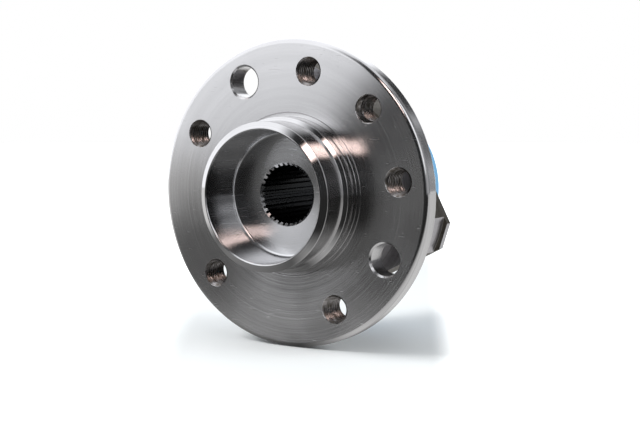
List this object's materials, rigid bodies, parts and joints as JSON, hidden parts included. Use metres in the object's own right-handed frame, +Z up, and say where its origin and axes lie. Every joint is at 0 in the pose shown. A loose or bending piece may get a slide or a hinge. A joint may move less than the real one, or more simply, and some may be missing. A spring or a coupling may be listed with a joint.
{
  "type": "wheel hub",
  "caption": "Driven front wheel hub: bolted flange with pilot spigot and splined bore, turning in a lugged double-row ball bearing with speed sensor.",
  "frame": {"origin": "on the spin axis, in the plane of the flange's wheel face", "axes": "-Y along the spin axis towards the wheel and the tip of the pilot spigot, +Y towards the knuckle, +Z up"},
  "size_m": [0.137, 0.1094, 0.137],
  "materials": {
    "turned_steel": "turned and ground",
    "forged_steel": "forged, dark, machined on its seats",
    "bearing_steel": "ground and polished",
    "sheet_steel": "drawn sheet",
    "magnetic_rubber": "smooth",
    "seal_rubber": "satin",
    "blue_plastic": "moulded satin",
    "black_plastic": "moulded satin",
    "contact_metal": "tinned",
    "cage_plastic": "moulded"
  },
  "bodies": {
    "carrier": {"outer_ring": "forged_steel", "outboard_seal_case": "sheet_steel", "outboard_seal_lip": "seal_rubber", "inboard_seal_case": "sheet_steel", "inboard_seal_lip": "seal_rubber", "cap_sleeve": "sheet_steel", "sensor_cap": "blue_plastic", "cap_o_ring": "seal_rubber", "sensor_module": "black_plastic", "sensor_chip": "black_plastic", "contact_pins": "contact_metal"},
    "hub": {"hub_flange": "turned_steel", "inner_ring": "bearing_steel", "outboard_slinger": "sheet_steel", "inboard_slinger": "sheet_steel", "encoder_ring": "magnetic_rubber"},
    "outboard_row": {"outboard_cage": "cage_plastic", "outboard_balls": "bearing_steel"},
    "inboard_row": {"inboard_cage": "cage_plastic", "inboard_balls": "bearing_steel"}
  },
  "joints": [
    {"name": "hub_spin", "type": "hinge", "parent": "carrier", "child": "hub", "pos_m": [0, 0, 0], "axis": [0, 1, 0], "continuous": true},
    {"name": "outboard_row_spin", "type": "hinge", "parent": "carrier", "child": "outboard_row", "pos_m": [0, 0.0295, 0], "axis": [0, 1, 0], "continuous": true},
    {"name": "inboard_row_spin", "type": "hinge", "parent": "carrier", "child": "inboard_row", "pos_m": [0, 0.0495, 0], "axis": [0, 1, 0], "continuous": true}
  ],
  "couplings": [
    {"joint": "outboard_row_spin", "follows": "hub_spin", "ratio": 0.41},
    {"joint": "inboard_row_spin", "follows": "hub_spin", "ratio": 0.41}
  ]
}
